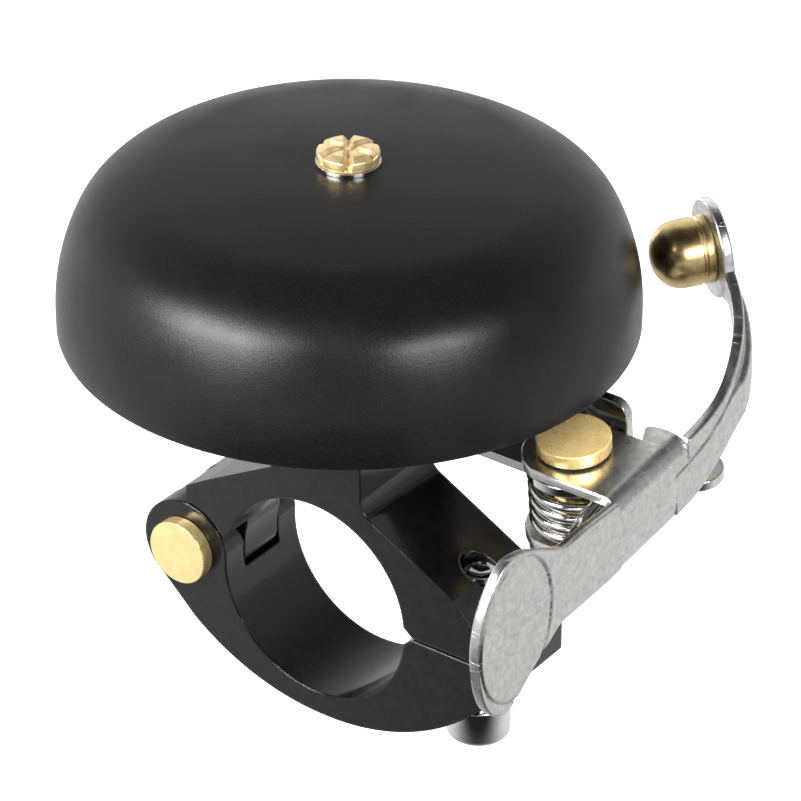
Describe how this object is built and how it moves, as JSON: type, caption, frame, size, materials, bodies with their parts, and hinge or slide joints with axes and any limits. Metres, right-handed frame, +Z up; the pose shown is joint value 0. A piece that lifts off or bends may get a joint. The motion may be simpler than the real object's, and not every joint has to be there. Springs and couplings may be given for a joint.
{
  "type": "bicycle bell",
  "caption": "Domed black bell over a hinged handlebar clamp, with a sprung steel striker lever, thumb paddle and brass hammer.",
  "frame": {"origin": "middle of the handlebar bore, on its axis", "axes": "+Y along the handlebar, +Z up through the dome, +X towards the clamp screw and striker lever"},
  "size_m": [0.0628, 0.0585, 0.062],
  "materials": {
    "satin_black": "satin",
    "gloss_black": "gloss",
    "tumbled_steel": "tumbled matte",
    "plated_steel": "polished",
    "chrome_screw": "polished",
    "zinc_steel": "bright plated",
    "spring_steel": "bright drawn wire",
    "brass": "satin turned",
    "aged_brass": "aged, patchy",
    "black_nylon": "matte"
  },
  "bodies": {
    "frame": {"dome": "satin_black", "crown_nut": "brass", "crown_washer": "zinc_steel", "bell_stud": "zinc_steel", "dome_cushion": "black_nylon", "dome_spacer": "zinc_steel", "bracket_nut": "zinc_steel", "lock_washer": "zinc_steel", "bracket": "plated_steel", "upper_clamp": "gloss_black", "lever_pin": "brass", "pin_washer": "black_nylon", "spring_bush": "brass", "pin_clip": "zinc_steel"},
    "striker": {"striker_lever": "tumbled_steel", "striker_hammer": "aged_brass", "hammer_rivet": "aged_brass", "torsion_spring": "spring_steel"},
    "lower_half": {"lower_clamp": "gloss_black", "hinge_pin": "brass"},
    "screw": {"clamp_screw": "chrome_screw"}
  },
  "joints": [
    {"name": "lever_pivot", "type": "hinge", "parent": "frame", "child": "striker", "pos_m": [0.0267, 0, 0.0243], "axis": [0, -0.1011, 0.9949], "range_deg": [-30, 4], "stiffness_Nm_per_rad": 0.05},
    {"name": "clamp_hinge", "type": "hinge", "parent": "frame", "child": "lower_half", "pos_m": [-0.0162, 0, 0], "axis": [0, 1, 0], "range_deg": [0, 3.5]},
    {"name": "screw_back_out", "type": "slide", "parent": "frame", "child": "screw", "axis": [0, 0, -1], "range_m": [0, 0.002]}
  ],
  "couplings": [
    {"joint": "screw_back_out", "follows": "clamp_hinge", "m_per_rad": 0.0323}
  ]
}
